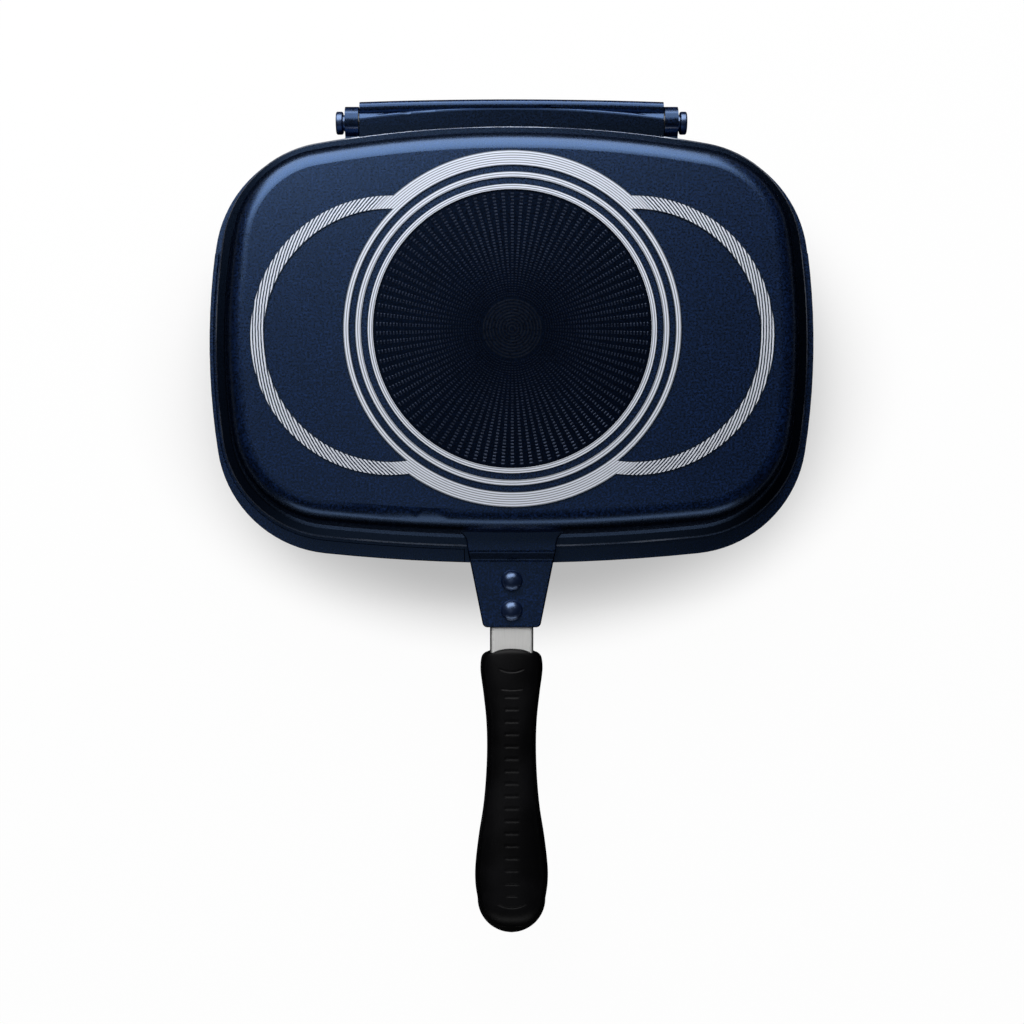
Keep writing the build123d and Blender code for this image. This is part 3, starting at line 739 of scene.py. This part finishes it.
def grip_outline(place):
    """Half width, half width above the skirt and height of a grip at a place, all in millimetres."""
    width = between(place, GRIP_WIDTHS)
    height = between(place, GRIP_HEIGHTS)
    skirt = sizes().skirt_height / MM + LEDGE_RISE
    ledge = sizes().skirt_ledge / MM
    if place > GRIP_TAIL:
        t = (place - GRIP_TAIL) / (GRIP_END - GRIP_TAIL)
        width = GRIP_WIDTHS[-1][1] * math.sqrt(max(0.0, 1 - t * t))
        t = min(1.0, (place - GRIP_TAIL) / (GRIP_END - TAIL_LEDGE - GRIP_TAIL))
        body = (GRIP_WIDTHS[-1][1] - ledge) * math.sqrt(1 - t * t)
        height = skirt + (GRIP_HEIGHTS[-1][1] - skirt) * (1 - t ** TAIL_CURVE[0]) ** TAIL_CURVE[1]
        return width, min(body, width - LEDGE_INSET * (1 - t)), height
    if place < GRIP_START + FRONT_ROUND:
        t = (GRIP_START + FRONT_ROUND - place) / FRONT_ROUND
        pulled = FRONT_ROUND * (1 - math.sqrt(max(0.0, 1 - t * t)))
        width -= pulled * FRONT_PULL[0]
        height -= pulled * FRONT_PULL[1]
    return width, width - ledge, height


def grip_relief(across, place):
    """Depth of the ribs and curved grooves at a point of a grip's top, all in millimetres."""
    pitch = sizes().rib_pitch / MM
    half = sizes().strip_width / MM / 2
    first, last = RIB_SPAN
    cut = 0.0
    if first - 1 < place < last + 1:
        ribs = (place - first) / pitch
        side = 1 - ease(abs(across), half - STRIP_FADE, half)
        cut = sizes().rib_depth / MM * side * (1 - ease(abs(ribs - round(ribs)) * pitch, *RIB_FLANK))
    for middle, bow, reach, width in GROOVES:
        line = middle + (across * across / (2 * bow) if bow else 0.0)
        side = 1 - ease(abs(across), reach - GROOVE_FADE, reach)
        cut = max(cut, GROOVE_DEPTH * side * (1 - ease(abs(place - line), GROOVE_FLOOR, width)))
    return cut


def grip_section(share, width, body, height):
    """Point of a grip's section in millimetres, share from 0 to 1 up one side to the middle of the top."""
    skirt = sizes().skirt_height / MM
    ledge = min(width, max(0.0, width - LEDGE_INSET))
    body = min(body, ledge)
    foot = skirt + LEDGE_RISE
    rows = (
        (0.0, max(0.0, width - SKIRT_BEVEL), 0.0),
        (0.03, width, SKIRT_BEVEL),
        (0.06, width, skirt - SKIRT_BEVEL),
        (0.075, max(0.0, width - SKIRT_LIP[0]), skirt - SKIRT_LIP[1]),
        (0.09, ledge, skirt),
        (CROWN_START, body, foot),
    )
    for (low, x0, z0), (high, x1, z1) in zip(rows, rows[1:]):
        if share <= high:
            t = (share - low) / (high - low)
            return x0 + (x1 - x0) * t, z0 + (z1 - z0) * t
    x = math.cos((share - CROWN_START) / (1 - CROWN_START) * math.pi / 2)
    return body * x, foot + (height - foot) * max(0.0, 1 - x**CROWN_BULGE) ** (1 / CROWN_BULGE)


def grip_shape():
    """A grip's smooth shell over its parting face, with its pockets, closed at both ends."""
    shape = bmesh.new()
    rows = int((GRIP_END - GRIP_START) / GRIP_ROW)
    bmesh.ops.create_grid(shape, x_segments=GRIP_COLUMNS, y_segments=rows, size=0.5)
    foot = parting_face()
    corner_bow, middle_bow, bow_reach = FRONT_BOW
    for vertex in shape.verts:
        along = vertex.co.y + 0.5
        along -= ROW_CROWDING * math.sin(math.tau * along)
        place = GRIP_START + (GRIP_END - TIP_GAP - GRIP_START) * along
        width, body, height = grip_outline(place)
        share = 1 - abs(2 * vertex.co.x)
        x, z = grip_section(share, width, body, height)
        cut = grip_relief(x, place) if share > RELIEF_START else 0.0
        fade = 1 - ease(place, GRIP_START, GRIP_START + bow_reach)
        bow = (corner_bow * (x / width) ** 2 - middle_bow) * fade
        side = 1 if vertex.co.x > 0 else -1
        vertex.co = (side * x * MM, -(place + bow) * MM, foot + (z - cut) * MM)
    for end in (GRIP_START * MM, GRIP_END * MM):
        close_end(shape, end, foot)
    for place, radius, depth in GRIP_POCKETS:
        pocket(shape, radius * MM, depth * MM, place * MM, foot)
    outline = [edge for edge in shape.edges if edge.is_boundary]
    bmesh.ops.triangle_fill(shape, edges=outline, use_beauty=True, normal=(0, 0, -1))
    return shape


def close_end(shape, end, foot):
    """Closes the arch at one end of a grip's shell, down to its parting face."""

    def gap(vertex):
        """How far a vertex lies from this end."""
        return abs(vertex.co.y + end)

    feet = [vertex for vertex in shape.verts if vertex.is_boundary and abs(vertex.co.z - foot) < TOUCH]
    left, right = sorted(feet, key=gap)[:2]
    bmesh.ops.contextual_create(shape, geom=[left, right])
    arch = [
        edge for edge in shape.edges
        if edge.is_boundary
        and sum(gap(vertex) for vertex in edge.verts) < END_REACH * MM
        and max(vertex.co.z for vertex in edge.verts) > foot + TOUCH
    ]
    seam = [edge for edge in left.link_edges if edge.other_vert(left) is right]
    bmesh.ops.contextual_create(shape, geom=arch + seam)


def pocket(shape, radius, depth, place, foot):
    """Sinks a round pocket into a grip's parting face."""
    middle = Matrix.Translation((0, -place, foot))
    mouth = bmesh.ops.create_circle(shape, segments=ROUND_SIDES, radius=radius, matrix=middle)["verts"]
    grown = bmesh.ops.extrude_edge_only(shape, edges=edges_of(mouth))["geom"]
    bmesh.ops.translate(shape, vec=(0, 0, depth), verts=only(bmesh.types.BMVert, grown))
    bmesh.ops.contextual_create(shape, geom=only(bmesh.types.BMEdge, grown))


def rivet(shape, middle):
    """A rivet whose seat has this middle: domed head above, shank and tail below."""
    radius = sizes().rivet_radius
    squeeze = Matrix.Translation(middle) @ Matrix.Diagonal((radius, radius, sizes().rivet_height, 1))
    ball = bmesh.ops.create_uvsphere(
        shape, u_segments=ROUND_SIDES, v_segments=SMALL_ROUND_SIDES, radius=1.0, matrix=squeeze
    )["verts"]
    faces = dict.fromkeys(face for vertex in ball for face in vertex.link_faces)
    cut = bmesh.ops.bisect_plane(
        shape, geom=[*ball, *edges_of(ball), *faces], plane_co=middle, plane_no=(0, 0, 1), clear_inner=True
    )
    bmesh.ops.contextual_create(shape, geom=only(bmesh.types.BMEdge, cut["geom_cut"]))
    centre, seat = middle[:2], middle[2]
    foot = seat - SHANK_LENGTH * MM
    tail_top = foot + TAIL_HEIGHT * MM
    drum(shape, SHANK_RADIUS * MM, foot, seat, 0.0, centre, SMALL_ROUND_SIDES)
    drum(shape, TAIL_RADIUS * MM, foot, tail_top, TAIL_ROUND * MM, centre, SMALL_ROUND_SIDES, 3)


def disc_dashes():
    """Rows of small raised dashes round the disc."""
    s = sizes()
    level = DISC_LEVEL * MM
    rise = s.dash_height * (1 - DASH_SUNK) / 2
    shape = bmesh.new()
    place = s.disc_radius - DASH_MARGIN * MM
    while place > DASH_STOP * MM:
        out = place / s.disc_radius
        width, reach = ((least + more * out) * MM for least, more in (DASH_WIDTH, DASH_REACH))
        block = Matrix.Diagonal((width, reach, s.dash_height * (1 + DASH_SUNK), 1))
        middle = Matrix.Translation((0, place, level + rise))
        made = bmesh.ops.create_cube(shape, size=1.0, matrix=middle @ block)
        crown = [vertex for vertex in made["verts"] if vertex.co.z > level]
        bmesh.ops.scale(shape, vec=DASH_CROWN, verts=crown, space=Matrix.Translation((0, -place, 0)))
        place -= s.dash_pitch * (DASH_CROWDING[0] + DASH_CROWDING[1] * out)
    rows = s.dash_rows
    bmesh.ops.spin(
        shape, geom=[*shape.verts, *shape.edges, *shape.faces], cent=(0, 0, 0), axis=(0, 0, 1),
        angle=math.tau * (rows - 1) / rows, steps=rows - 1, use_duplicate=True,
    )
    return shape


def disc_circles():
    """Fine raised circles at the middle of the disc."""
    pitch = sizes().circle_pitch
    level = Matrix.Translation((0, 0, DISC_LEVEL * MM))
    shape = bmesh.new()
    radius = pitch
    while radius < CIRCLES_STOP * MM:
        ring = bmesh.ops.create_circle(
            shape, cap_ends=False, segments=CIRCLE_SIDES, radius=radius - CIRCLE_INSET * MM, matrix=level
        )
        inner = outer = edges_of(ring["verts"])
        # up to the crest and down again
        for lift in (CIRCLE_RISE * MM, -CIRCLE_RISE * MM):
            grown = bmesh.ops.extrude_edge_only(shape, edges=outer)["geom"]
            verts = only(bmesh.types.BMVert, grown)
            share = 1 + CIRCLE_SLOPE * MM / verts[0].co.xy.length
            bmesh.ops.scale(shape, vec=(share, share, 1), verts=verts)
            bmesh.ops.translate(shape, vec=(0, 0, lift), verts=verts)
            outer = [edge for edge in only(bmesh.types.BMEdge, grown) if len(edge.link_faces) == 1]
        bmesh.ops.bridge_loops(shape, edges=inner + outer)
        radius += pitch
    return shape


def add_light(name, place, target, size, power):
    """A soft box that faces its target."""
    lamp = bpy.data.lights.new(name, "AREA")
    lamp.shape = "RECTANGLE"
    lamp.size, lamp.size_y = size
    lamp.energy = power
    light = bpy.data.objects.new(name, lamp)
    bpy.context.scene.collection.objects.link(light)
    aim = (Vector(target) - Vector(place)).to_track_quat("-Z", "Y")
    light.matrix_world = Matrix.Translation(place) @ aim.to_matrix().to_4x4()


# --- Operators -------------------------------------------------------------------------------------


class FLIPPAN_OT_coat(bpy.types.Operator):
    """Coats both pans and brightens their contact rings"""

    bl_idname = "flippan.coat"
    bl_label = "Coat the pans"

    def execute(self, context):
        coat = coat_finish()
        for side in SIDES:
            coat_node(side + "_pan", coat)
        return {"FINISHED"}


class FLIPPAN_OT_steelwork(bpy.types.Operator):
    """Finishes rod, washers, straps, ferrules, screws, cups and magnets"""

    bl_idname = "flippan.steelwork"
    bl_label = "Finish the steelwork"

    def execute(self, context):
        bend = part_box("upper_ferrule")[1].x
        rod = steel_finish("rod_steel", (3500, 300, 300))
        # the washers are darkened steel, made near black as painted shade for the narrow gaps at the barrel's
        # ends
        washer = steel_finish("washer_steel", (900, 900, 900), (0.4, 0.55), tint=0.2)
        strap = steel_finish("strap_steel", (3000, 120, 900), (0.35, 0.5), tint=0.75)
        # the ferrules' steel is whitened and made mostly not metallic: part of its brightness is a painted
        # reflection
        ferrule = steel_finish(
            "ferrule_steel", (2600, 60, 2600), (0.30, 0.45), tint=1.33, metallic=0.25, half_width=bend
        )
        screw = steel_finish("screw_steel", (1400, 1400, 200), (0.25, 0.4), tint=0.9)
        magnet = steel_finish("magnet_plating", (200, 200, 200), (0.12, 0.25), tint=1.1)
        coat_node("hinge_rod", rod)
        coat_node("hinge_washers", washer)
        for side in SIDES:
            coat_node(side + "_handle_strap", strap)
            coat_node(side + "_ferrule", ferrule)
            coat_node(side + "_grip_screws", screw)
            coat_node(side + "_magnet_cup", screw)
            coat_node(side + "_magnet", magnet)
        return {"FINISHED"}


class FLIPPAN_OT_seal(bpy.types.Operator):
    """Finishes the rubber seal in the rim"""

    bl_idname = "flippan.seal"
    bl_label = "Finish the seal"

    def execute(self, context):
        coat_node("rim_seal", rubber_finish())
        return {"FINISHED"}


class FLIPPAN_OT_grips(bpy.types.Operator):
    """Adds the two smooth ribbed grips"""

    bl_idname = "flippan.grips"
    bl_label = "Add the grips"

    def execute(self, context):
        plastic = plastic_finish()
        for side in SIDES:
            shape = grip_shape()
            if side == "lower":
                mirror_down(shape, sizes().parting_height)
            add_piece(side + "_grip_shell", shape, plastic, side + "_body", "grip_plastic", side + "_grip")
        return {"FINISHED"}


class FLIPPAN_OT_rivets(bpy.types.Operator):
    """Adds the domed rivets of both handles"""

    bl_idname = "flippan.rivets"
    bl_label = "Add the rivets"

    def execute(self, context):
        paint = paint_finish("rivet_paint")
        for side in SIDES:
            shape = bmesh.new()
            for place in RIVET_PLACES:
                rivet(shape, (0, -place * MM, parting_face() + TANG_HEIGHT * MM))
            if side == "lower":
                mirror_down(shape, sizes().parting_height)
            add_piece(side + "_rivets", shape, paint, side + "_body", "rivet_paint", side + "_handle_rivets")
        return {"FINISHED"}


class FLIPPAN_OT_caps(bpy.types.Operator):
    """Adds the rounded caps at the ends of the hinge rod"""

    bl_idname = "flippan.caps"
    bl_label = "Add the hinge caps"

    def execute(self, context):
        paint = paint_finish("cap_paint")
        for side, outward in (("left", -1), ("right", 1)):
            node = "hinge_cap_" + side
            low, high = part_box(node)
            middle = (low + high) / 2
            lug_face = low.x if outward > 0 else high.x
            shape = bmesh.new()
            drum(shape, CAP_NECK_RADIUS * MM, 0, CAP_NECK_END * MM)
            drum(shape, CAP_RADIUS * MM, CAP_ENDS[0] * MM, CAP_ENDS[1] * MM, CAP_ROUND * MM, rounds=5)
            turn = Matrix.Rotation(math.radians(90 * outward), 4, "Y")
            place = Matrix.Translation((lug_face, middle.y, middle.z))
            bmesh.ops.transform(shape, matrix=place @ turn, verts=shape.verts[:])
            add_piece("hinge_cap_round_" + side, shape, paint, "lower_body", "cap_paint", node)
        return {"FINISHED"}


class FLIPPAN_OT_disc(bpy.types.Operator):
    """Adds the raised dashes and fine circles inside the contact rings"""

    bl_idname = "flippan.disc"
    bl_label = "Add the disc pattern"

    def execute(self, context):
        rubbed = dash_finish()
        for side in SIDES:
            for kind, make in (("dashes", disc_dashes), ("circles", disc_circles)):
                shape = make()
                if side == "lower":
                    mirror_down(shape, MIDDLE_HEIGHT * MM)
                add_piece(side + "_disc_" + kind, shape, rubbed, side + "_body", "pan_coat", sharp=20.0)
        return {"FINISHED"}


class FLIPPAN_OT_stage(bpy.types.Operator):
    """Adds the floor, the soft lights and the camera"""

    bl_idname = "flippan.stage"
    bl_label = "Set the stage"

    def execute(self, context):
        scene = context.scene
        shape = bmesh.new()
        bmesh.ops.create_grid(shape, x_segments=2, y_segments=2, size=FLOOR_SIZE)
        mesh = bpy.data.meshes.new("floor")
        shape.to_mesh(mesh)
        shape.free()
        floor = bpy.data.objects.new("floor", mesh)
        scene.collection.objects.link(floor)
        mesh.materials.append(floor_finish())
        # a dim room, which only the camera sees as a white backdrop
        scene.world = bpy.data.worlds.new("studio")
        scene.world.use_nodes = True
        tree = scene.world.node_tree
        room = tree.nodes["Background"].inputs
        room["Color"].default_value = ROOM_COLOUR
        strength = tree.nodes.new("ShaderNodeMath")
        strength.operation = "MULTIPLY_ADD"
        strength.inputs[1].default_value = BACKDROP_LIGHT
        strength.inputs[2].default_value = ROOM_LIGHT
        tree.links.new(tree.nodes.new("ShaderNodeLightPath").outputs["Is Camera Ray"], strength.inputs[0])
        tree.links.new(strength.outputs[0], room["Strength"])
        for name, setting in LIGHTS.items():
            add_light(name, *setting)
        camera = bpy.data.objects.new("camera", bpy.data.cameras.new("camera"))
        scene.collection.objects.link(camera)
        camera.location = CAMERA_PLACE
        camera.data.shift_x, camera.data.shift_y = CAMERA_SHIFT
        camera.data.lens = CAMERA_LENS
        camera.data.sensor_width = CAMERA_SENSOR
        scene.camera = camera
        scene.view_settings.view_transform = "Standard"
        return {"FINISHED"}


class FLIPPAN_PT_panel(bpy.types.Panel):
    """Lists the steps that dress the pan"""

    bl_idname = "FLIPPAN_PT_panel"
    bl_label = "Flip Pan"
    bl_space_type = "VIEW_3D"
    bl_region_type = "UI"
    bl_category = "Flip Pan"

    def draw(self, context):
        for group in (context.scene.flip_pan_sizes, context.scene.flip_pan_colours):
            box = self.layout.box()
            for key in group.__annotations__:
                box.prop(group, key)
        for step in STEPS:
            self.layout.operator(step.bl_idname)


STEPS = (
    FLIPPAN_OT_stage,
    FLIPPAN_OT_coat,
    FLIPPAN_OT_steelwork,
    FLIPPAN_OT_seal,
    FLIPPAN_OT_grips,
    FLIPPAN_OT_rivets,
    FLIPPAN_OT_caps,
    FLIPPAN_OT_disc,
)
CLASSES = (FlipPanSizes, FlipPanColours, *STEPS, FLIPPAN_PT_panel)


def register():
    """Registers the classes and their settings."""
    for cls in CLASSES:
        bpy.utils.register_class(cls)
    bpy.types.Scene.flip_pan_sizes = PointerProperty(type=FlipPanSizes)
    bpy.types.Scene.flip_pan_colours = PointerProperty(type=FlipPanColours)


def unregister():
    """Removes the settings and the classes."""
    del bpy.types.Scene.flip_pan_colours
    del bpy.types.Scene.flip_pan_sizes
    for cls in reversed(CLASSES):
        bpy.utils.unregister_class(cls)


def main():
    """Dresses the pan."""
    register()
    bpy.ops.flippan.stage()
    bpy.ops.flippan.coat()
    bpy.ops.flippan.steelwork()
    bpy.ops.flippan.seal()
    bpy.ops.flippan.grips()
    bpy.ops.flippan.rivets()
    bpy.ops.flippan.caps()
    bpy.ops.flippan.disc()


if __name__ == "__main__":
    main()
